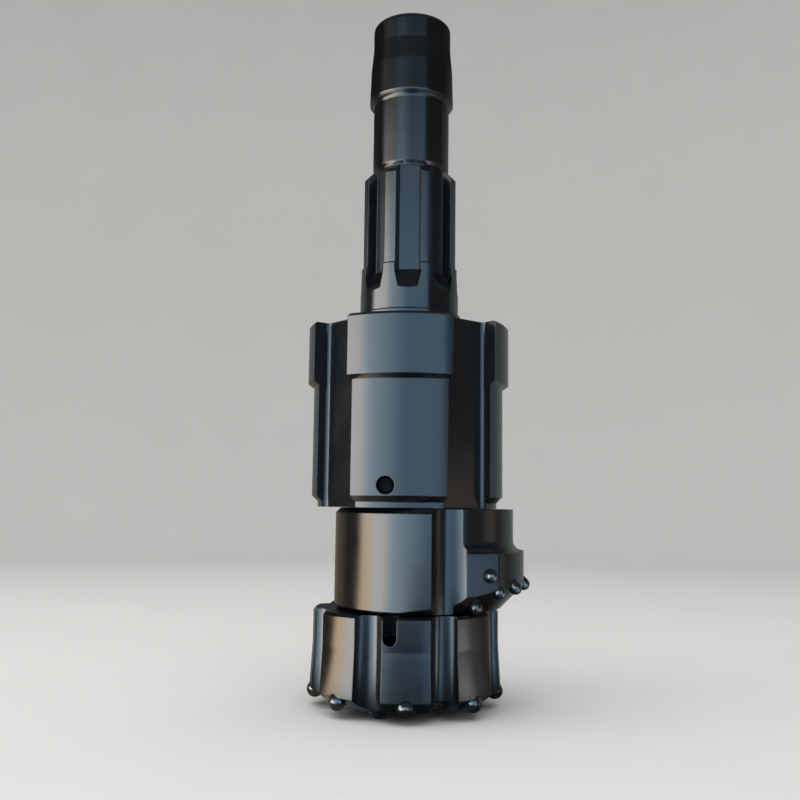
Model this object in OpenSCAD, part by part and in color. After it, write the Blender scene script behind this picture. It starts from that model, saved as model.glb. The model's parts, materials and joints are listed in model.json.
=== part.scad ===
// Eccentric casing-drilling bit set: guide with splined shank, swing-out reamer and pilot bit.
// The tool axis is Z, the shank points up, and the origin is the centre of the strike face.
// The reamer is drawn swung out, with its wing along +X.

/* [Shank] */
// Diameter of the head's upper end
head_top_d = 78; // [70:0.5:82]
// Diameter of the head at its foot
head_d = 84.5; // [80:0.5:90]
// Length of the head's straight upper end
head_top_len = 25; // [20:1:45]
// Length of the taper between the two head diameters
head_taper_len = 22; // [10:1:40]
// Length of the whole head
head_len = 82.5; // [75:0.5:110]
// Diameter of the neck that takes the retaining ring
neck_d = 76; // [68:0.5:77]
// Length of the neck
neck_len = 73.5; // [50:0.5:100]
// Diameter at the floor of the spline valleys
root_d = 72; // [66:0.5:75]
// Number of splines
spline_count = 8; // [6:1:10]
// Diameter over the splines
spline_d = 93.8; // [88:0.2:96]
// Turn of the valleys between splines from the front, in degrees
spline_turn = -2.5; // [-22:0.5:22]
// Length of the splines, from the neck to the collar
spline_len = 98.5; // [70:0.5:130]
// Width of a valley between splines at its mouth
valley_mouth_w = 26; // [18:0.5:27]
// Width of a valley at its floor
valley_floor_w = 18.5; // [12:0.5:20]
// Length by which a valley's floor goes on below the splines
runin_len = 5.5; // [2:0.5:8]
// Length of the slope where a valley runs out into the collar
runout_len = 20; // [10:1:28]
// Diameter of the plain collar below the splines
collar_d = 97; // [96.5:0.5:99]
// Length of the plain collar
collar_len = 45; // [35:1:70]
// Diameter of the flange at the root of the shank
flange_d = 101; // [99:0.5:110]
// Height of the flange at the root of the shank
flange_len = 13; // [8:1:30]
// Diameter of the air bore
air_bore_d = 32; // [24:1:40]
// Diameter of the wider mouth of the air bore
mouth_d = 38; // [34:1:46]
// Depth of the wider mouth of the air bore
mouth_len = 45; // [20:1:70]

/* [Guide] */
// Diameter of the shoulder that drives the casing shoe
shoulder_d = 196; // [190:0.5:204]
// Length of the shoulder
shoulder_len = 56; // [40:1:80]
// Height of the cone below the shoulder, which seats in the casing shoe
shoulder_cone_len = 4; // [1:0.5:8]
// Diameter of the guide below the shoulder
guide_d = 184.5; // [180:0.5:188]
// Length of the guide below the shoulder
guide_len = 119; // [100:1:160]
// Diameter of the short spigot at the guide's foot
foot_d = 173; // [165:0.5:178]
// Height of the spigot at the guide's foot
foot_len = 5; // [3:0.5:10]
// Number of flutes for the cuttings
flute_count = 4; // [3:1:4]
// Width of a guide flute
flute_w = 52.5; // [40:0.5:60]
// Distance from the tool axis to a flute's floor
flute_floor = 77.3; // [70:0.1:84]
// Radius in the corners of a flute
flute_corner_r = 4; // [2:0.5:8]
// Turn of the flutes from the reamer's wing, in degrees
flute_turn = 39.3; // [0:0.1:90]

/* [Lock pins] */
// Diameter of a lock pin
lock_pin_d = 16; // [12:0.5:18]
// Distance of a lock pin from the tool axis
lock_pin_offset = 20; // [19:0.5:24]
// Height of the lock pins above the guide's foot
lock_pin_height = 20; // [16:0.5:30]
// Length of a lock pin
lock_pin_len = 118; // [90:1:125]
// Depth of a lock pin's outer end below the guide's surface
lock_pin_recess = 12; // [2:0.5:14]
// Diameter of a spring pin
spring_pin_d = 6; // [4:0.5:8]
// Wall of a spring pin
spring_pin_wall = 1.2; // [0.8:0.1:1.6]
// Length of a spring pin
spring_pin_len = 36; // [30:1:44]
// Distance of a spring pin from the tool axis, along its lock pin
spring_pin_along = 58; // [50:1:64]

/* [Reamer] */
// Distance between the tool axis and the reamer's swing axis
eccentricity = 11.8; // [9:0.1:13]
// Diameter of the reamer's turned body
reamer_d = 184.5; // [178:0.5:188]
// Depth of the wing's outer wall below the body's radius
wing_step = 3.25; // [2:0.25:6]
// Depth of the relief at the top of the wing, below the wing's wall
wing_relief = 10; // [6:0.5:12]
// Height of the reamer
reamer_len = 92.6; // [85:0.2:110]
// Chamfer at the rim of the reamer's top
rim_chamfer = 4.5; // [2:0.5:6]
// Height of the wing's relieved upper part, above its hollow
wing_relief_len = 29; // [15:0.5:35]
// Height of the wing's straight outer wall, below the hollow
wing_wall_len = 31.5; // [24:0.5:36]
// Radius on the tool axis where the bevel at the reamer's foot starts
foot_bevel_r = 83; // [80:0.5:90]
// Slope of the bevel at the reamer's foot, in degrees
foot_bevel_angle = 30; // [20:1:40]
// Radius of a reamer flute
reamer_flute_r = 20; // [15:0.5:23]
// Distance of a reamer flute from the body's centre, along the wing
reamer_flute_along = 17.5; // [12:0.5:22]
// Angle of the milled facet at each side of the wing, in degrees
facet_angle = 18; // [10:1:26]
// Depth of the milled facets below the body's radius
facet_depth = 10.25; // [7:0.25:13]
// Angle the reamer can swing, in degrees
swing_angle = 180; // [150:1:180]

/* [Pilot bit] */
// Diameter of the pilot at the top of its ribs
pilot_top_d = 176.5; // [170:0.5:180]
// Diameter of the pilot at its gauge
pilot_d = 181; // [176:0.5:186]
// Height of the ribs' straight upper part
rib_straight_len = 30; // [25:1:40]
// Height of the ribs' tapered lower part
rib_taper_len = 42.5; // [30:0.5:60]
// Height of the bevel that carries the gauge buttons
bevel_len = 10; // [6:0.5:12]
// Slope of the bevel that carries the gauge buttons, in degrees
bevel_angle = 35; // [30:1:40]
// Number of ribs
rib_count = 8; // [6:1:8]
// Radius of a pilot flute
pilot_flute_r = 13.5; // [10:0.5:15]
// Distance from the tool axis to a pilot flute's centre
pilot_flute_at = 91; // [89:0.5:95]
// Diameter of the eccentric journal
journal_d = 84; // [78:0.5:92]
// Diameter of the stem in the guide
stem_d = 50; // [46:0.5:54]
// Length of the stem
stem_len = 95; // [60:1:110]
// Diameter of the air bore in the stem
stem_bore_d = 17; // [12:0.5:18]
// Diameter of a flushing port
port_d = 12.5; // [8:0.5:14]
// Height of a flushing port's axis below the pilot's top
port_depth = 18; // [12:0.5:22]
// Slope of the side ports, in degrees
port_slope = 20; // [10:1:25]
// Turn of the side ports from the front, in degrees
port_turn = -9.5; // [-12:0.5:12]
// Distance from the tool axis to a face port
face_port_r = 50; // [46:0.5:54]
// Lean of a face port from the tool axis, in degrees
face_port_lean = 40; // [35:1:45]
// Width of a cuttings channel in the pilot's face
channel_w = 14; // [10:0.5:16]
// Depth of a cuttings channel in the pilot's face
channel_depth = 9; // [6:0.5:12]
// Diameter of the stop lug
lug_d = 13; // [8:0.5:16]
// Height of the stop lug
lug_len = 9; // [6:0.5:12]
// Distance of the stop lug from the swing axis
lug_at = 55; // [52:0.5:60]
// Direction of the stop lug from the swing axis, in degrees
lug_turn = 50; // [40:1:60]

/* [Carbide buttons] */
// Diameter of a pilot button
pilot_button_d = 16; // [12:0.5:17]
// Length of a pilot button's shank
pilot_button_len = 15; // [10:0.5:18]
// Diameter of a reamer button
reamer_button_d = 12; // [9:0.5:13]
// Length of a reamer button's shank
reamer_button_len = 12; // [8:0.5:14]
// Share of a button's radius by which its dome stands proud
dome_share = 1; // [0.5:0.05:1]
// Length of a button's shank that stands proud below its dome
button_proud = 0.8; // [0.2:0.1:2]
// Radius of the outer ring of face buttons
face_ring_r = 64; // [60:0.5:66]
// Radius of the inner ring of face buttons
core_ring_r = 30; // [26:0.5:36]

/* [Fits] */
// Running clearance round the journal
journal_clear = 0.25; // [0.1:0.05:0.5]
// Clearance below the reamer
reamer_gap = 1.5; // [0.3:0.1:3]
// Clearance above the reamer
reamer_top_gap = 0.6; // [0.4:0.1:3]
// Clearance round the stem
stem_clear = 0.1; // [0.05:0.05:0.4]
// Clearance round the lock pins and spring pins
pin_clear = 0.1; // [0.05:0.05:0.3]
// Clearance round the carbide buttons
button_clear = 0.03; // [0.02:0.01:0.1]
// Clearance of the stop lug in its groove
lug_clear = 0.6; // [0.4:0.1:1.5]
// Small edge chamfer
edge = 2.5; // [1:0.5:4]

/* [Hidden] */
$fn = 64;
tiny = 0.01;
over = 20;

BUTTONS_GAUGE = rib_count;
BUTTONS_RING = 4;
REAMER_GAUGE_TURNS = [44, 58, 90, 122, 136];
REAMER_GAUGE_DROPS = [3, 0, 0, 0, 3];
REAMER_INNER_TURNS = [32, 148];
REAMER_WEAR_TURNS = [36, 144];

// Heights, from the strike face down.
head_z = -head_len;
neck_z = head_z - neck_len;
spline_z = neck_z - spline_len;
collar_z = spline_z - collar_len;
guide_top_z = collar_z - flange_len;
shoulder_z = guide_top_z - shoulder_len;
foot_z = shoulder_z - guide_len;
reamer_top_z = foot_z - reamer_top_gap;
reamer_z = reamer_top_z - reamer_len;
pilot_top_z = reamer_z - reamer_gap;
rib_mid_z = pilot_top_z - rib_straight_len;
gauge_z = rib_mid_z - rib_taper_len;
face_z = gauge_z - bevel_len;
lock_pin_z = foot_z + lock_pin_height;

// Radii that follow from the diameters.
spline_depth = (spline_d - neck_d) / 2;
neck_step = (neck_d - root_d) / 2;
face_r = pilot_d / 2 - bevel_len / tan(bevel_angle);
foot_slope = (guide_d - foot_d) / 2;

// The reamer's body is turned about its own centre, twice the eccentricity from the tool axis.
body_x = 2 * eccentricity;
wing_r = reamer_d / 2 - wing_step;
wing_bevel_z = reamer_top_z - wing_relief_len - wing_relief - wing_wall_len;
reamer_flute_out = reamer_d / 2 + 0.4;
facet_distance = reamer_d / 2 - facet_depth;

// Where each ring of buttons sits on its cone or face.
bevel_share = 0.4;
pilot_gauge_r = pilot_d / 2 - bevel_share * bevel_len / tan(bevel_angle);
pilot_gauge_z = gauge_z - bevel_share * bevel_len;
reamer_inner_drop = 16.5;
reamer_wear_share = 0.37;
wing_cone_angle = 45;

// Points of an arc in a profile, from one angle to another.
function arc(x, y, r, from, to, steps = 6) =
    [for (i = [0 : steps]) let (a = from + (to - from) * i / steps) [x + r * cos(a), y + r * sin(a)]];

// Turns its children by an angle measured from the front (-Y) towards the wing side (+X).
module at_turn(turn) {
    rotate([0, 0, turn - 90]) children();
}

// Outline of the guide with its shank, as radius and height.
module guide_profile() {
    head_round = 5;
    lip_round = 3;
    neck_round = 4;
    ring_r = root_d / 2 - 0.5;
    polygon(concat(
        [[0, 0]],
        arc(head_top_d / 2 - head_round, -head_round, head_round, 90, 0),
        [[head_top_d / 2, -head_top_len], [(head_top_d + 2 * head_d) / 6, -head_top_len - head_taper_len]],
        arc(head_d / 2 - lip_round, head_z + lip_round, lip_round, 0, -70),
        arc(neck_d / 2 + neck_round, head_z - neck_round, neck_round, 90, 180),
        [[neck_d / 2, neck_z + 2.5 * neck_step], [ring_r, neck_z + neck_step], [ring_r, neck_z]],
        [[neck_d / 2, neck_z], [spline_d / 2, neck_z - spline_depth]],
        [[spline_d / 2, spline_z], [collar_d / 2, spline_z - (collar_d - spline_d) / 4]],
        [[collar_d / 2, collar_z], [flange_d / 2, collar_z - (flange_d - collar_d) / 4]],
        [[flange_d / 2, guide_top_z], [shoulder_d / 2 - edge, guide_top_z]],
        [[shoulder_d / 2, guide_top_z - edge]],
        [[shoulder_d / 2, shoulder_z], [guide_d / 2, shoulder_z - shoulder_cone_len]],
        [[guide_d / 2, foot_z + foot_len + foot_slope], [foot_d / 2, foot_z + foot_len]],
        [[foot_d / 2, foot_z], [0, foot_z]]
    ));
}

// One valley between two splines. At its foot the cutter lifted out along a slope, which narrows the valley.
module spline_valley() {
    depth = (collar_d - root_d) / 2 + over;
    half_floor = valley_floor_w / 2;
    half_outer = half_floor + depth * (valley_mouth_w - valley_floor_w) / (spline_d - root_d);
    floor_end_z = spline_z - runin_len;
    end_z = floor_end_z - runout_len;
    top_z = neck_z + neck_step / 2;
    slope = atan((collar_d - root_d) / 2 / runout_len);
    reach = 2 * (top_z - end_z);
    narrowing = 0.2;
    taper_z = end_z + (half_outer - half_floor) / narrowing;
    half_end = half_floor - narrowing * edge;
    intersection() {
        translate([root_d / 2, 0, end_z - over]) linear_extrude(top_z - end_z + over)
            polygon([[0, -half_floor], [depth, -half_outer], [depth, half_outer], [0, half_floor]]);
        translate([root_d / 2, 0, floor_end_z]) rotate([0, -slope, 0])
            translate([0, -reach / 2, -reach / 2]) cube([reach, reach, 2 * reach]);
        rotate([90, 0, 90]) linear_extrude(reach) polygon([
            [-half_outer, top_z + over], [-half_outer, taper_z], [-half_end, end_z - edge],
            [half_end, end_z - edge], [half_outer, taper_z], [half_outer, top_z + over]
        ]);
    }
}

// Section of a guide flute: a flat floor with round corners.
module flute_section() {
    outer_r = shoulder_d / 2 + over;
    half = flute_w / 2;
    r = flute_corner_r;
    polygon(concat(
        arc(flute_floor + r, -half + r, r, 180, 270),
        [[outer_r, -half], [outer_r, half]],
        arc(flute_floor + r, half - r, r, 90, 180)
    ));
}

// The hole or body of a lock pin, from its outer end inwards along +Y.
module lock_pin_axis() {
    outer_y = -sqrt(pow(guide_d / 2, 2) - pow(lock_pin_offset + lock_pin_d / 2, 2));
    translate([-lock_pin_offset, outer_y + lock_pin_recess, lock_pin_z]) rotate([-90, 0, 0]) children();
}

// The place of a spring pin, beside its lock pin.
module spring_pin_axis() {
    translate([-lock_pin_offset - lock_pin_d / 2, -spring_pin_along, foot_z]) children();
}

// Repeats its children on the front and the rear of the tool.
module front_and_rear() {
    for (turn = [0, 180]) rotate([0, 0, turn]) children();
}

module guide_body() {
    color([0.06, 0.07, 0.08]) difference() {
        rotate_extrude() guide_profile();
        for (i = [0 : spline_count - 1]) at_turn(spline_turn + i * 360 / spline_count) spline_valley();
        for (i = [0 : flute_count - 1]) at_turn(flute_turn + i * 360 / flute_count)
            translate([0, 0, foot_z - over]) linear_extrude(guide_top_z - foot_z + 2 * over) flute_section();
        translate([0, 0, foot_z - over]) cylinder(d = air_bore_d, h = -foot_z + 2 * over);
        translate([0, 0, -mouth_len]) cylinder(d = mouth_d, h = mouth_len + over);
        translate([0, 0, foot_z - over]) cylinder(d = stem_d + 2 * stem_clear, h = stem_len + over);
        front_and_rear() lock_pin_axis() translate([0, 0, -over * 2])
            cylinder(d = lock_pin_d + 2 * pin_clear, h = lock_pin_len + over * 2);
        front_and_rear() spring_pin_axis() translate([0, 0, -over])
            cylinder(d = spring_pin_d + 2 * pin_clear, h = spring_pin_len + over);
    }
}

module lock_pin() {
    lead = 1.5;
    color([0.35, 0.36, 0.37]) difference() {
        lock_pin_axis() {
            cylinder(d1 = lock_pin_d - 2 * lead, d2 = lock_pin_d, h = lead);
            translate([0, 0, lead]) cylinder(d = lock_pin_d, h = lock_pin_len - 2 * lead);
            translate([0, 0, lock_pin_len - lead])
                cylinder(d1 = lock_pin_d, d2 = lock_pin_d - 2 * lead, h = lead);
        }
        spring_pin_axis() cylinder(d = spring_pin_d + 2 * pin_clear, h = lock_pin_height + lock_pin_d);
    }
}

module spring_pin() {
    slot_w = spring_pin_wall;
    cut_len = spring_pin_len + 2 * over;
    color([0.45, 0.45, 0.44]) spring_pin_axis() difference() {
        cylinder(d = spring_pin_d, h = spring_pin_len);
        translate([0, 0, -over]) cylinder(d = spring_pin_d - 2 * spring_pin_wall, h = cut_len);
        translate([-spring_pin_d, -slot_w / 2, -over]) cube([spring_pin_d, slot_w, cut_len]);
    }
}

// A carbide button with its dome along +Z. The origin is where its axis meets the surface round it.
module button(d, len) {
    dome_h = d / 2 * dome_share;
    ball_r = (pow(d / 2, 2) + pow(dome_h, 2)) / (2 * dome_h);
    half_angle = asin(min(1, d / 2 / ball_r));
    foot_z = button_proud - len;
    chamfer = 0.5;
    color([0.2, 0.21, 0.22]) rotate_extrude() polygon(concat(
        [[0, foot_z], [d / 2 - chamfer, foot_z], [d / 2, foot_z + chamfer]],
        arc(0, button_proud + dome_h - ball_r, ball_r, 90 - half_angle, 90)
    ));
}

// The hole for a button.
module button_hole(d, len) {
    translate([0, 0, button_proud - len - button_clear]) cylinder(d = d + 2 * button_clear, h = len + over);
}

// Places of the buttons. Each tips its children's +Z out of the surface.
module pilot_gauge_place(i) {
    at_turn((i - 1) * 360 / BUTTONS_GAUGE) translate([pilot_gauge_r, 0, pilot_gauge_z])
        rotate([0, 180 - bevel_angle, 0]) children();
}

module pilot_face_place(i) {
    outer = i <= BUTTONS_RING;
    turn = -180 / rib_count + (i - 1) * 360 / BUTTONS_RING;
    at_turn(turn) translate([outer ? face_ring_r : core_ring_r, 0, face_z]) rotate([180, 0, 0]) children();
}

module reamer_place(turn, r, z, tilt) {
    translate([body_x, 0, 0]) at_turn(turn) translate([r, 0, z]) rotate([0, tilt, 0]) children();
}

// A place on the wing's bevel, a drop below the foot of the wing's wall.
module wing_bevel_place(turn, drop) {
    r = wing_r - drop / tan(wing_cone_angle);
    reamer_place(turn, r, wing_bevel_z - drop, 90 + wing_cone_angle) children();
}

module reamer_gauge_place(i) {
    wing_bevel_place(REAMER_GAUGE_TURNS[i - 1], REAMER_GAUGE_DROPS[i - 1]) children();
}

module reamer_inner_place(i) {
    wing_bevel_place(REAMER_INNER_TURNS[i - 1], reamer_inner_drop) children();
}

module reamer_wear_place(i) {
    z = wing_bevel_z + reamer_wear_share * wing_wall_len;
    reamer_place(REAMER_WEAR_TURNS[i - 1], wing_r - wing_step / 2, z, 90) children();
}

// Outline of the pilot head, as radius and height.
module pilot_profile() {
    polygon([
        [0, pilot_top_z], [pilot_top_d / 2 - edge, pilot_top_z], [pilot_top_d / 2, pilot_top_z - edge],
        [pilot_top_d / 2, rib_mid_z], [pilot_d / 2, gauge_z], [face_r, face_z], [0, face_z]
    ]);
}

// A side flushing port: a hole that rises outwards from the air bore, open at the top through a rim slot.
module side_port() {
    slot_in = journal_d / 2 + 4;
    rim_r = pilot_top_d / 2;
    translate([rim_r, 0, pilot_top_z - port_depth]) rotate([0, -90 - port_slope, 0]) translate([0, 0, -over])
        cylinder(d = port_d, h = rim_r / cos(port_slope) + over);
    translate([slot_in, -port_d / 2, pilot_top_z - port_depth]) cube([pilot_d, port_d, port_depth + tiny]);
}

// A face port that leans out from the air bore, with the channel that leads its cuttings to a flute.
module face_port() {
    translate([face_port_r, 0, face_z]) rotate([0, -face_port_lean, 0]) translate([0, 0, -over])
        cylinder(d = port_d, h = face_port_r / sin(face_port_lean) + over);
    translate([face_port_r, 0, face_z - over]) cylinder(d = channel_w, h = channel_depth + over);
    translate([face_port_r, -channel_w / 2, face_z - over]) cube([pilot_d, channel_w, channel_depth + over]);
}

// The stop lug, or the end of its groove.
module lug_place() {
    translate([eccentricity, 0, 0]) rotate([0, 0, lug_turn]) translate([lug_at, 0, 0]) children();
}

module pilot_bit() {
    stem_top_z = foot_z + stem_len;
    color([0.07, 0.08, 0.09]) difference() {
        union() {
            rotate_extrude() pilot_profile();
            translate([eccentricity, 0, pilot_top_z - tiny])
                cylinder(d = journal_d, h = foot_z - pilot_top_z + tiny);
            translate([0, 0, pilot_top_z]) cylinder(d = stem_d, h = stem_top_z - edge - pilot_top_z);
            translate([0, 0, stem_top_z - edge]) cylinder(d1 = stem_d, d2 = stem_d - 2 * edge, h = edge);
            lug_place() translate([0, 0, pilot_top_z - tiny]) cylinder(d = lug_d, h = lug_len + tiny);
        }
        for (i = [0 : rib_count - 1]) at_turn((i + 0.5) * 360 / rib_count)
            translate([pilot_flute_at, 0, face_z - over])
                cylinder(r = pilot_flute_r, h = pilot_top_z - face_z + 2 * over);
        translate([0, 0, gauge_z + bevel_len]) cylinder(d = stem_bore_d, h = stem_top_z - gauge_z);
        front_and_rear() at_turn(port_turn) side_port();
        for (i = [0 : BUTTONS_RING - 1]) at_turn(180 / rib_count + i * 360 / BUTTONS_RING) face_port();
        front_and_rear() lock_pin_axis() cylinder(d = lock_pin_d + 2 * pin_clear, h = lock_pin_len + over);
        for (i = [1 : BUTTONS_GAUGE]) pilot_gauge_place(i) button_hole(pilot_button_d, pilot_button_len);
        for (i = [1 : 2 * BUTTONS_RING]) pilot_face_place(i) button_hole(pilot_button_d, pilot_button_len);
    }
}

// The ring of metal turned off the wing: its relieved top, the hollow below it and the bevel at its foot.
module wing_cut() {
    outer_r = reamer_d / 2 + over;
    hollow_z = reamer_top_z - wing_relief_len;
    bevel_drop = wing_bevel_z - reamer_z + over;
    rotate_extrude() polygon(concat(
        [[outer_r, reamer_top_z + over], [wing_r - wing_relief, reamer_top_z + over]],
        arc(wing_r, hollow_z, wing_relief, 180, 270),
        [[wing_r, wing_bevel_z]],
        [[wing_r - bevel_drop / tan(wing_cone_angle), reamer_z - over], [outer_r, reamer_z - over]]
    ));
}

// The half space on the wing's side of the flutes.
module wing_side() {
    translate([reamer_flute_along, -reamer_d, reamer_z - 2 * over])
        cube([reamer_d, 2 * reamer_d, reamer_len + 4 * over]);
}

// A milled facet at one side of the wing, below the hollow.
module facet() {
    top_z = reamer_top_z - wing_relief_len - wing_relief;
    intersection() {
        rotate([0, 0, facet_angle]) translate([0, -facet_distance - reamer_d, reamer_z - over])
            cube([reamer_d, reamer_d, top_z - reamer_z + over]);
        wing_side();
    }
}

module reamer_body() {
    difference() {
        rotate_extrude() polygon([
            [0, reamer_z], [reamer_d / 2 - edge, reamer_z], [reamer_d / 2, reamer_z + edge],
            [reamer_d / 2, reamer_top_z - rim_chamfer], [reamer_d / 2 - rim_chamfer, reamer_top_z],
            [0, reamer_top_z]
        ]);
        intersection() {
            wing_cut();
            wing_side();
        }
        for (side = [0, 1]) mirror([0, side, 0]) {
            translate([reamer_flute_along, -reamer_flute_out, reamer_z - over])
                cylinder(r = reamer_flute_r, h = reamer_len + 2 * over);
            facet();
        }
    }
}

// The cone cut off the reamer's foot on the side away from the wing. It runs true to the tool axis.
module foot_bevel() {
    reach = reamer_d;
    intersection() {
        rotate_extrude() polygon([
            [foot_bevel_r, reamer_z], [foot_bevel_r + reach, reamer_z + reach * tan(foot_bevel_angle)],
            [foot_bevel_r + reach, reamer_z - over], [foot_bevel_r, reamer_z - over]
        ]);
        translate([body_x + reamer_flute_along - 2 * reamer_d, -reamer_d, reamer_z - 2 * over])
            cube([2 * reamer_d, 2 * reamer_d, reamer_len + over]);
    }
}

// The groove in the reamer's foot in which the stop lug runs.
module stop_groove() {
    half_w = lug_d / 2 + lug_clear;
    depth = lug_len + lug_clear;
    translate([eccentricity, 0, reamer_z - over]) {
        rotate([0, 0, lug_turn]) rotate_extrude(angle = swing_angle)
            translate([lug_at - half_w, 0]) square([2 * half_w, depth + over]);
        for (turn = [lug_turn, lug_turn + swing_angle]) rotate([0, 0, turn]) translate([lug_at, 0, 0])
            cylinder(r = half_w, h = depth + over);
    }
}

module reamer() {
    color([0.07, 0.08, 0.09]) difference() {
        translate([body_x, 0, 0]) reamer_body();
        translate([eccentricity, 0, reamer_z - over])
            cylinder(d = journal_d + 2 * journal_clear, h = reamer_len + 2 * over);
        foot_bevel();
        stop_groove();
        for (i = [1 : len(REAMER_GAUGE_TURNS)])
            reamer_gauge_place(i) button_hole(reamer_button_d, reamer_button_len);
        for (i = [1 : len(REAMER_INNER_TURNS)])
            reamer_inner_place(i) button_hole(reamer_button_d, reamer_button_len);
        for (i = [1 : len(REAMER_WEAR_TURNS)])
            reamer_wear_place(i) button_hole(reamer_button_d, reamer_button_len);
    }
}

guide_body();
pilot_bit();
reamer();
lock_pin();  // lock_pin_front
rotate([0, 0, 180]) lock_pin();  // lock_pin_rear
spring_pin();  // spring_pin_front
rotate([0, 0, 180]) spring_pin();  // spring_pin_rear
for (i = [1 : BUTTONS_GAUGE]) pilot_gauge_place(i) button(pilot_button_d, pilot_button_len);
for (i = [1 : 2 * BUTTONS_RING]) pilot_face_place(i) button(pilot_button_d, pilot_button_len);
for (i = [1 : len(REAMER_GAUGE_TURNS)]) reamer_gauge_place(i) button(reamer_button_d, reamer_button_len);
for (i = [1 : len(REAMER_INNER_TURNS)]) reamer_inner_place(i) button(reamer_button_d, reamer_button_len);
for (i = [1 : len(REAMER_WEAR_TURNS)]) reamer_wear_place(i) button(reamer_button_d, reamer_button_len);
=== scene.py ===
"""Looks of the eccentric casing-drilling bit: gloss black paint, studio light, painted reflections on the
floor, the photograph's camera.
"""

import json
import math

import bpy
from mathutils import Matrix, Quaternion, Vector


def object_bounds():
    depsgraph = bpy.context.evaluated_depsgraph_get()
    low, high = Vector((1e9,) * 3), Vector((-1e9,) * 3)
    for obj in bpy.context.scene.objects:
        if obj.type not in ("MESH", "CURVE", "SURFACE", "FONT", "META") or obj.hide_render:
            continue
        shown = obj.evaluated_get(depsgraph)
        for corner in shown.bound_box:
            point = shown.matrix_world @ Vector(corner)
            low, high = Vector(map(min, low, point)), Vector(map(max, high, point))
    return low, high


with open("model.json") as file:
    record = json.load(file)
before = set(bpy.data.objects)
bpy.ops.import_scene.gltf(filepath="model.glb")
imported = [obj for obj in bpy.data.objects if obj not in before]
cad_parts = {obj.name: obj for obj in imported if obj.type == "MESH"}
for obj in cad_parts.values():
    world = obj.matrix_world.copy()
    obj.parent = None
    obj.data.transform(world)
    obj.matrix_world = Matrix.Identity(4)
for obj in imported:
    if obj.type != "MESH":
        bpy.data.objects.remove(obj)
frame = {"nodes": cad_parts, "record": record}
cad_low, cad_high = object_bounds()

# Sizes of the stage, in metres
FLOOR_RADIUS = 2.3
COVE_RADIUS = 1.2
WALL_HEIGHT = 3.2
FLOOR_DROP = 0.0002
COVE_STEPS = 16
TURN_STEPS = 96

# The camera, in pixels of the 800 by 800 photograph and metres of the frame
IMAGE_SIDE = 800
FOCAL_PIXELS = 931
SENSOR_WIDTH = 36.0
CAMERA_AT = (-0.008, -0.911, -0.4825)
CAMERA_PITCH = math.radians(6.27)
CAMERA_ROLL = math.radians(0.72)

# Radius of the small edge rounds that catch the light, and widths of the worn edges, in metres
EDGE_ROUND = 0.0010
PAINT_WEAR_WIDTH = 0.0012
STEEL_WEAR_WIDTH = 0.0008

# Colours of the worn edges, and the cosines of the tilt over which a face turns into an edge
WORN_PAINT = (0.11, 0.11, 0.112, 1)
WORN_STEEL = (0.07, 0.07, 0.07, 1)
EDGE_TILT = (1.0, 0.86)

# Samples of the nodes that look at a point's surroundings, and the grain of all noise
BEVEL_SAMPLES = 6
CAVITY_SAMPLES = 4
NOISE_ROUGHNESS = 0.55

# Noise of the paint: patches per metre, the ranges used, and weights of the two kinds of waviness
WEAR_PATCHES = 70.0
WEAR_RANGE = (0.5, 0.72)
MOTTLE_PATCHES = 9.0
GLOSS_PATCHES = 26.0
GLOSS_RANGE = (0.3, 0.7)
WAVE_PATCHES = 17.0
WAVE_WEIGHT = 6.0
PEEL_PATCHES = 420.0
PEEL_WEIGHT = 0.5

# Finish of the paint: its bump, the roughness that wear adds, and its gloss
PAINT_BUMP = {"strength": 0.16, "distance": 0.0004}
WORN_ROUGHNESS = 0.25
PAINT_IOR = 1.52
BUTTON_IOR = 1.85

# Painted shade: ambient occlusion dims the paint's reflection in slots and corners: depth in metres, share of
# open sky, and gloss
CAVITY_REACH = 0.016
CAVITY_OPENNESS = (0.15, 0.6)
CAVITY_GLOSS = (0.06, 0.5)

# The pins' steel: patches per metre, and its finish
STEEL_MOTTLE_PATCHES = 60.0
STEEL_GLOSS_PATCHES = 150.0
STEEL_GLOSS_RANGE = (0.2, 1.2)
STEEL_ROUGHNESS = (0.5, 0.65)
STEEL_WEAR = 0.4
TURNING_PATCHES = 900.0
STEEL_BUMP = {"strength": 0.12, "distance": 0.0002}
STEEL_METALLIC = 0.35
STEEL_SPECULAR = 0.12

# The floor: two pale greys in patches, dull
FLOOR_GREYS = ((0.66, 0.66, 0.65, 1), (0.70, 0.70, 0.69, 1))
FLOOR_MOTTLE_PATCHES = 3.0
FLOOR_GLOSS_PATCHES = 12.0
FLOOR_ROUGHNESS = (0.85, 0.95)
FLOOR_SPECULAR = 0.1

# Painted reflection: colours the floor glows with for glossy rays only, so the paint mirrors cards and sky
# that are no lamps; by turn in degrees, 0 on the camera's side, 90 on the wing's
BLACK = (0.008, 0.009, 0.010)
DARK = (0.012, 0.0135, 0.015)
PAINTED_WHITE_CARD = (1.0, 1.0, 0.97)
PAINTED_NEAR_SKY = (0.46, 0.62, 0.72)
PAINTED_FAR_SKY = (0.14, 0.235, 0.335)
PAINTED_BACK_SKY = (0.034, 0.037, 0.037)
PAINTED_REFLECTION_RING = [
    (-180, BLACK), (-172, BLACK), (-162, PAINTED_BACK_SKY), (-126, PAINTED_BACK_SKY), (-116, DARK), (-95, DARK),
    (-86, PAINTED_WHITE_CARD), (-57, PAINTED_WHITE_CARD), (-44, PAINTED_NEAR_SKY), (-4, PAINTED_FAR_SKY), (39, PAINTED_FAR_SKY), (46, DARK),
    (104, DARK), (114, PAINTED_BACK_SKY), (160, PAINTED_BACK_SKY), (172, BLACK), (180, BLACK),
]

# Strength of the painted reflection's glow: full below the first height, and a small share above the second
PAINTED_REFLECTION_STRENGTH = 8.0
PAINTED_REFLECTION_TOP = (0.7, 1.9)
PAINTED_REFLECTION_TOP_SHARE = 0.08

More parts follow.
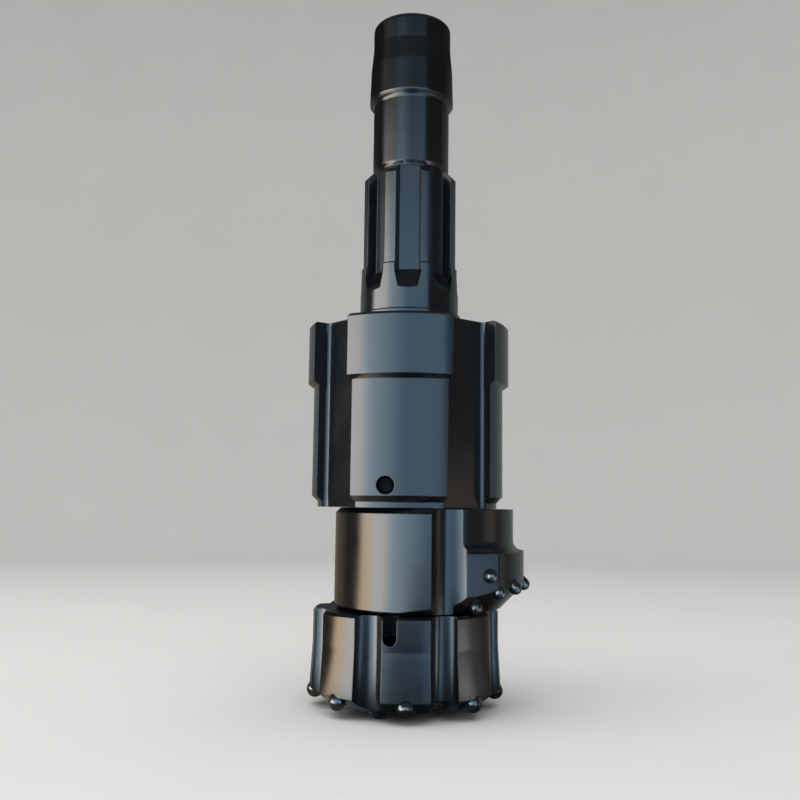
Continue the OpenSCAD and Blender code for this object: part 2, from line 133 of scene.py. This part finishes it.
# Painted shade in the painted reflection close to the part, by distance from the axis; the floor's own grey
# stays even
SHADE_RADIUS = (0.14, 0.30)
SHADE_SHARE = 0.04

# A painted reflection of a warm glow low on the left, by turn and height
PAINTED_WARM_GLOW = (1.0, 0.74, 0.50, 1)
WARM_TURN = (-68, -80)
WARM_HEIGHT = (-0.35, -0.62)

# A painted reflection of a grey card on the floor to the right, by turn and distance
PAINTED_SIDE_CARD = (0.34, 0.335, 0.34, 1)
SIDE_CARD_TURN = ((50, 60), (68, 82))
SIDE_CARD_REACH = (0.65, 1.1)

# A painted reflection of brown earth low on the right, by turn and height, olive where it is lower still
PAINTED_EARTH = (0.095, 0.076, 0.063, 1)
PAINTED_OLIVE = (0.058, 0.056, 0.050, 1)
EARTH_TURN = ((70, 80), (90, 102))
EARTH_HEIGHT = (-0.5, -0.22)
OLIVE_HEIGHT = (-0.65, -0.55)

# Painted shade: a darker patch in the floor's painted reflection straight ahead, by turn and distance
AHEAD_TURN = ((-32, -16), (16, 30))
AHEAD_REACH = (0.7, 1.7)
AHEAD_DIMMING = 0.8

# The painted reflection of the white card on the left grows dimmer upwards
CARD_TURN = (-30, -52)
CARD_HEIGHT = (0.7, 1.3)
CARD_DIMMING = 0.82

# The world: its grey lights the floor, and glossy rays see a painted reflection of a dim sky there
WORLD_GREY = (0.5, 0.5, 0.5, 1)
WORLD_PAINTED_REFLECTION = (0.06, 0.09, 0.12, 1)
WORLD_STRENGTH = 1.15

# The lamps: turn in degrees, and height, distance and size in metres from the middle of the part
SOFTBOXES = [
    {"name": "front_light", "turn": -10, "height": 1.6, "distance": 1.6, "size": (2.6, 1.8), "power": 14,
     "colour": (0.97, 0.98, 1.0)},
    {"name": "left_light", "turn": -75, "height": 1.4, "distance": 1.6, "size": (1.2, 1.8), "power": 10,
     "colour": (1.0, 0.99, 0.97)},
    {"name": "top_light", "turn": 0, "height": 2.4, "distance": 0.3, "size": (3.2, 3.2), "power": 40,
     "colour": (1.0, 0.99, 0.98)},
]


class Painter:
    """Builds one material's node tree, one node per call."""

    def __init__(self, name):
        self.material = bpy.data.materials.new(name)
        self.material.use_nodes = True
        self.tree = self.material.node_tree
        self.shader = self.tree.nodes["Principled BSDF"]
        self.place = self.add("ShaderNodeTexCoord").outputs["Object"]

    def add(self, kind, settings=None, **inputs):
        """Adds a node. Each input is a value or another node's output."""
        node = self.tree.nodes.new(kind)
        for key, value in (settings or {}).items():
            setattr(node, key, value)
        for key, value in inputs.items():
            self.put(node.inputs[key], value)
        return node

    def put(self, socket, value):
        """Sets a socket to a value, or links it to an output."""
        if isinstance(value, bpy.types.NodeSocket):
            self.tree.links.new(value, socket)
        else:
            socket.default_value = value

    def shade(self, key, value):
        """Sets or links one input of the material's shader."""
        self.put(self.shader.inputs[key], value)

    def noise(self, scale, detail=3.0):
        """Smooth noise in the part's own frame, from 0 to 1."""
        node = self.add("ShaderNodeTexNoise", Vector=self.place, Scale=scale, Detail=detail,
                        Roughness=NOISE_ROUGHNESS)
        return node.outputs["Fac"]

    def remap(self, value, low, high, new_low, new_high):
        """Stretches a value from one range to another, and holds it at the ends."""
        node = self.add("ShaderNodeMapRange", Value=value)
        keys = ("From Min", "From Max", "To Min", "To Max")
        for key, number in zip(keys, (low, high, new_low, new_high)):
            node.inputs[key].default_value = number
        return node.outputs["Result"]

    def rise(self, value, span):
        """0 before a span, 1 after it."""
        return self.remap(value, *span, 0.0, 1.0)

    def fall(self, value, span):
        """1 before a span, 0 after it."""
        return self.remap(value, *span, 1.0, 0.0)

    def window(self, value, spans):
        """1 between a span in which it rises and one in which it falls, 0 outside them."""
        return self.times(self.rise(value, spans[0]), self.fall(value, spans[1]))

    def math(self, operation, a, b):
        """One sum on two values."""
        node = self.add("ShaderNodeMath", {"operation": operation})
        self.put(node.inputs[0], a)
        self.put(node.inputs[1], b)
        return node.outputs["Value"]

    def times(self, a, b):
        """The product of two values."""
        return self.math("MULTIPLY", a, b)

    def dimmed(self, power, amount):
        """A power less a share of it."""
        return self.times(power, self.math("SUBTRACT", 1.0, amount))

    def mix(self, factor, a, b, blend="MIX"):
        """A colour between two colours, or their product."""
        node = self.add("ShaderNodeMix", {"data_type": "RGBA", "blend_type": blend})
        for key, value in (("Factor", factor), ("A", a), ("B", b)):
            self.put(node.inputs[key], value)
        return node.outputs["Result"]

    def rounded(self, radius):
        """The normal with its edges rounded."""
        return self.add("ShaderNodeBevel", {"samples": BEVEL_SAMPLES}, Radius=radius).outputs["Normal"]

    def edges(self, radius):
        """1 on convex and concave edges, 0 on smooth faces."""
        dot = self.add("ShaderNodeVectorMath", {"operation": "DOT_PRODUCT"})
        self.put(dot.inputs[0], self.rounded(radius))
        self.put(dot.inputs[1], self.add("ShaderNodeNewGeometry").outputs["Normal"])
        return self.rise(dot.outputs["Value"], EDGE_TILT)

    def bump(self, height, strength, distance):
        """Feeds a height to the shader as bump, over edges that look rounded."""
        normal = self.rounded(EDGE_ROUND)
        node = self.add("ShaderNodeBump", Height=height, Strength=strength, Distance=distance, Normal=normal)
        self.shade("Normal", node.outputs["Normal"])


def paint(name, dark, light, roughness, wear, ior):
    """Gloss paint over steel: mottled colour, uneven gloss, orange peel, worn edges, and painted shade that
    dims its reflection in corners.
    """
    p = Painter(name)
    worn = p.times(p.edges(PAINT_WEAR_WIDTH), p.remap(p.noise(WEAR_PATCHES), *WEAR_RANGE, 0.0, wear))
    base = p.mix(p.noise(MOTTLE_PATCHES), dark, light)
    p.shade("Base Color", p.mix(worn, base, WORN_PAINT))
    gloss = p.remap(p.noise(GLOSS_PATCHES), *GLOSS_RANGE, *roughness)
    p.shade("Roughness", p.math("ADD", gloss, p.times(worn, WORN_ROUGHNESS)))
    waves = p.times(p.noise(WAVE_PATCHES, 1.0), WAVE_WEIGHT)
    peel = p.times(p.noise(PEEL_PATCHES), PEEL_WEIGHT)
    p.bump(p.math("ADD", waves, peel), **PAINT_BUMP)
    p.shade("IOR", ior)
    # Painted shade: the reflection is dimmed where ambient occlusion finds slots and corners
    cavity_shade = p.add("ShaderNodeAmbientOcclusion", {"samples": CAVITY_SAMPLES}, Distance=CAVITY_REACH)
    p.shade("Specular IOR Level", p.remap(cavity_shade.outputs["AO"], *CAVITY_OPENNESS, *CAVITY_GLOSS))
    return p.material


def steel(name, dark, light):
    """Blackened steel of the pins, oily and dull, with fine turning marks and worn edges."""
    p = Painter(name)
    worn = p.edges(STEEL_WEAR_WIDTH)
    base = p.mix(p.noise(STEEL_MOTTLE_PATCHES), dark, light)
    p.shade("Base Color", p.mix(p.times(worn, STEEL_WEAR), base, WORN_STEEL))
    gloss = p.math("ADD", p.noise(STEEL_GLOSS_PATCHES), worn)
    p.shade("Roughness", p.remap(gloss, *STEEL_GLOSS_RANGE, *STEEL_ROUGHNESS))
    p.bump(p.noise(TURNING_PATCHES), **STEEL_BUMP)
    p.shade("Metallic", STEEL_METALLIC)
    p.shade("Specular IOR Level", STEEL_SPECULAR)
    return p.material


def painted_reflection_colour(p, turn):
    """The painted reflection's colour by its turn in degrees."""
    ramp = p.add("ShaderNodeValToRGB", Fac=p.rise(turn, (-180, 180)))
    stops = ramp.color_ramp.elements
    while len(stops) < len(PAINTED_REFLECTION_RING):
        stops.new(0.5)
    for stop, (degrees, colour) in zip(stops, PAINTED_REFLECTION_RING):
        stop.position = (degrees + 180) / 360
        stop.color = (*colour, 1)
    return ramp.outputs["Color"]


def painted_reflection_ring(p):
    """Painted reflection: a glow seen only by glossy rays, with cards and sky round the part, dim above, warm
    near the floor, and painted shade close to the part and straight ahead.
    """
    axes = p.add("ShaderNodeSeparateXYZ", Vector=p.place).outputs
    height = axes["Z"]
    turn = p.times(p.math("ARCTAN2", axes["X"], p.times(axes["Y"], -1.0)), 180 / math.pi)
    length = p.add("ShaderNodeVectorMath", {"operation": "LENGTH"})
    p.put(length.inputs[0], p.add("ShaderNodeCombineXYZ", X=axes["X"], Y=axes["Y"]).outputs["Vector"])
    reach = length.outputs["Value"]

    # Masks and colours of the painted reflections of earth, the side card and the warm glow
    painted_earth = p.times(p.window(turn, EARTH_TURN), p.fall(height, EARTH_HEIGHT))
    painted_side_card = p.times(p.window(turn, SIDE_CARD_TURN), p.fall(reach, SIDE_CARD_REACH))
    painted_soil = p.mix(p.rise(height, OLIVE_HEIGHT), PAINTED_OLIVE, PAINTED_EARTH)
    colour = p.mix(painted_side_card, p.mix(painted_earth, painted_reflection_colour(p, turn), painted_soil), PAINTED_SIDE_CARD)
    painted_warm_glow = p.times(p.rise(height, WARM_HEIGHT), p.rise(turn, WARM_TURN))
    colour = p.mix(1.0, colour, p.mix(painted_warm_glow, (1, 1, 1, 1), PAINTED_WARM_GLOW), "MULTIPLY")

    # Strength of the painted reflection, with painted shade close to the part, straight ahead and high on the
    # card
    power = p.remap(height, *PAINTED_REFLECTION_TOP, PAINTED_REFLECTION_STRENGTH, PAINTED_REFLECTION_TOP_SHARE * PAINTED_REFLECTION_STRENGTH)
    power = p.times(power, p.remap(reach, *SHADE_RADIUS, SHADE_SHARE, 1.0))
    ahead = p.times(p.window(turn, AHEAD_TURN), p.remap(reach, *AHEAD_REACH, AHEAD_DIMMING, 0.0))
    high = p.times(p.rise(turn, CARD_TURN), p.remap(height, *CARD_HEIGHT, 0.0, CARD_DIMMING))
    power = p.dimmed(p.dimmed(power, ahead), high)
    return p.add("ShaderNodeEmission", Color=colour, Strength=power).outputs["Emission"]


def floor_material():
    """Plain pale studio floor with a faint mottle. Glossy rays see it glow with the painted reflection ring
    instead, which the gloss paint mirrors.
    """
    p = Painter("studio_floor")
    p.shade("Base Color", p.mix(p.noise(FLOOR_MOTTLE_PATCHES), *FLOOR_GREYS))
    p.shade("Roughness", p.remap(p.noise(FLOOR_GLOSS_PATCHES), *GLOSS_RANGE, *FLOOR_ROUGHNESS))
    p.shade("Specular IOR Level", FLOOR_SPECULAR)
    # Painted reflection: glossy rays see the ring's glow instead of the floor's grey
    both = p.add("ShaderNodeMixShader", Fac=p.add("ShaderNodeLightPath").outputs["Is Glossy Ray"])
    p.put(both.inputs[1], p.shader.outputs["BSDF"])
    p.put(both.inputs[2], painted_reflection_ring(p))
    p.put(p.tree.nodes["Material Output"].inputs["Surface"], both.outputs["Shader"])
    return p.material


SLOT_MATERIALS = {
    "black_paint": paint("gloss_black_paint", dark=(0.0045, 0.005, 0.006, 1), light=(0.0085, 0.009, 0.010, 1),
                         roughness=(0.14, 0.22), wear=0.5, ior=PAINT_IOR),
    "carbide": paint("painted_carbide", dark=(0.007, 0.0075, 0.008, 1), light=(0.014, 0.0145, 0.015, 1),
                     roughness=(0.08, 0.16), wear=0.3, ior=BUTTON_IOR),
    "pin_steel": steel("blackened_steel", dark=(0.006, 0.006, 0.0065, 1), light=(0.014, 0.014, 0.014, 1)),
}


def dress_nodes():
    """Gives every CAD node its slot's material."""
    for subpart in frame["record"]["subparts"]:
        material = SLOT_MATERIALS[subpart["material_slot"]]
        for slot in frame["nodes"][subpart["node"]].material_slots:
            slot.material = material


def stage_outline():
    """Radius and height of the stage's points: the floor, the cove and the wall's top."""
    low = cad_low.z - FLOOR_DROP
    outline = [(0.0, low), (FLOOR_RADIUS, low)]
    for step in range(1, COVE_STEPS + 1):
        a = math.pi / 2 * step / COVE_STEPS
        outline.append((FLOOR_RADIUS + COVE_RADIUS * math.sin(a), low + COVE_RADIUS * (1 - math.cos(a))))
    outline.append((FLOOR_RADIUS + COVE_RADIUS, low + WALL_HEIGHT))
    return outline


def make_stage():
    """A round floor that curves up into a wall on every side."""
    outline = stage_outline()
    row = len(outline)
    points = []
    faces = []
    for i in range(TURN_STEPS):
        turn = 2 * math.pi * i / TURN_STEPS
        points += [(r * math.cos(turn), r * math.sin(turn), z) for r, z in outline]
        here = i * row
        there = (i + 1) % TURN_STEPS * row
        faces += [(here + k, there + k, there + k + 1, here + k + 1) for k in range(row - 1)]
    mesh = bpy.data.meshes.new("studio_floor")
    mesh.from_pydata(points, [], faces)
    mesh.shade_smooth()
    mesh.materials.append(floor_material())
    stage = bpy.data.objects.new("studio_floor", mesh)
    bpy.context.scene.collection.objects.link(stage)


def softbox(name, turn, height, distance, size, power, colour):
    """A flat lamp that lights the part, unseen by the camera and the paint."""
    lamp = bpy.data.lights.new(name, "AREA")
    lamp.shape = "RECTANGLE"
    lamp.size, lamp.size_y = size
    lamp.energy = power
    lamp.color = colour
    thing = bpy.data.objects.new(name, lamp)
    a = math.radians(turn)
    middle = (cad_low + cad_high) / 2
    thing.location = middle + Vector((math.sin(a) * distance, -math.cos(a) * distance, height))
    thing.rotation_euler = (middle - thing.location).to_track_quat("-Z", "Y").to_euler()
    thing.visible_camera = False
    thing.visible_glossy = False
    bpy.context.scene.collection.objects.link(thing)


def make_world():
    """A grey world that lights the stage. Glossy rays see a dimmer blue instead, a painted reflection of sky.
    """
    world = bpy.data.worlds.new("studio")
    world.use_nodes = True
    tree = world.node_tree
    background = tree.nodes["Background"]
    # Painted reflection: glossy rays see a dim blue sky instead of the grey
    mirrored = tree.nodes.new("ShaderNodeLightPath").outputs["Is Glossy Ray"]
    colour = tree.nodes.new("ShaderNodeMix")
    colour.data_type = "RGBA"
    colour.inputs["A"].default_value = WORLD_GREY
    colour.inputs["B"].default_value = WORLD_PAINTED_REFLECTION
    tree.links.new(mirrored, colour.inputs["Factor"])
    tree.links.new(colour.outputs["Result"], background.inputs["Color"])
    background.inputs["Strength"].default_value = WORLD_STRENGTH
    bpy.context.scene.world = world


def make_camera():
    """The photograph's viewpoint: in front of the reamer, tipped a little towards the shank."""
    data = bpy.data.cameras.new("camera")
    data.sensor_width = SENSOR_WIDTH
    data.lens = FOCAL_PIXELS / IMAGE_SIDE * SENSOR_WIDTH
    camera = bpy.data.objects.new("camera", data)
    camera.location = CAMERA_AT
    aim = Vector((0, math.cos(CAMERA_PITCH), math.sin(CAMERA_PITCH))).to_track_quat("-Z", "Y")
    camera.rotation_euler = (aim @ Quaternion((0, 0, 1), CAMERA_ROLL)).to_euler()
    bpy.context.scene.collection.objects.link(camera)
    bpy.context.scene.camera = camera


dress_nodes()
make_stage()
for softbox_values in SOFTBOXES:
    softbox(**softbox_values)
make_world()
make_camera()
bpy.context.scene.view_settings.view_transform = "Standard"

bpy.context.view_layer.update()
